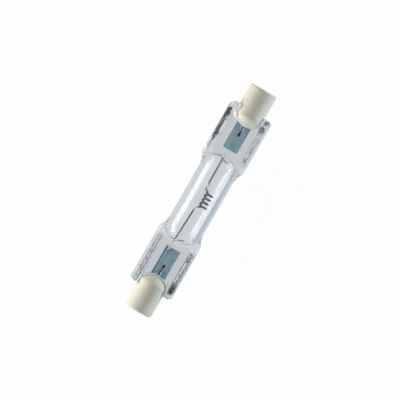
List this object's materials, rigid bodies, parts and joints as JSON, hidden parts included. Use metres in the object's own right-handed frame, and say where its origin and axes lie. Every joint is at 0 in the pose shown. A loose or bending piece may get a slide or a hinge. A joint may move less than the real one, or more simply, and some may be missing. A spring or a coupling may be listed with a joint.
{
  "type": "linear halogen bulb",
  "caption": "Linear halogen bulb: clear quartz tube with flat pinched ends, slotted ceramic caps with recessed contacts, and a coiled filament.",
  "frame": {"origin": "on the bulb's axis, half way between the two cap ends", "axes": "+X along the bulb, +Y across the flat pinches, +Z out of their faces"},
  "size_m": [0.078, 0.0144, 0.0118],
  "materials": {
    "quartz": "clear, fused",
    "ceramic": "matt, unglazed",
    "cement": "rough, dry",
    "contact_metal": "nickel, turned",
    "foil_metal": "molybdenum, etched",
    "lead_metal": "drawn wire",
    "filament_metal": "drawn tungsten wire"
  },
  "bodies": {
    "root": {"quartz_envelope": "quartz", "ceramic_cap_left": "ceramic", "ceramic_cap_right": "ceramic", "cement_left": "cement", "cement_right": "cement", "contact_left": "contact_metal", "contact_right": "contact_metal", "seal_foil_left": "foil_metal", "seal_foil_right": "foil_metal", "outer_lead_left": "lead_metal", "outer_lead_right": "lead_metal", "inner_lead_left": "lead_metal", "inner_lead_right": "lead_metal", "filament": "filament_metal"}
  },
  "joints": []
}
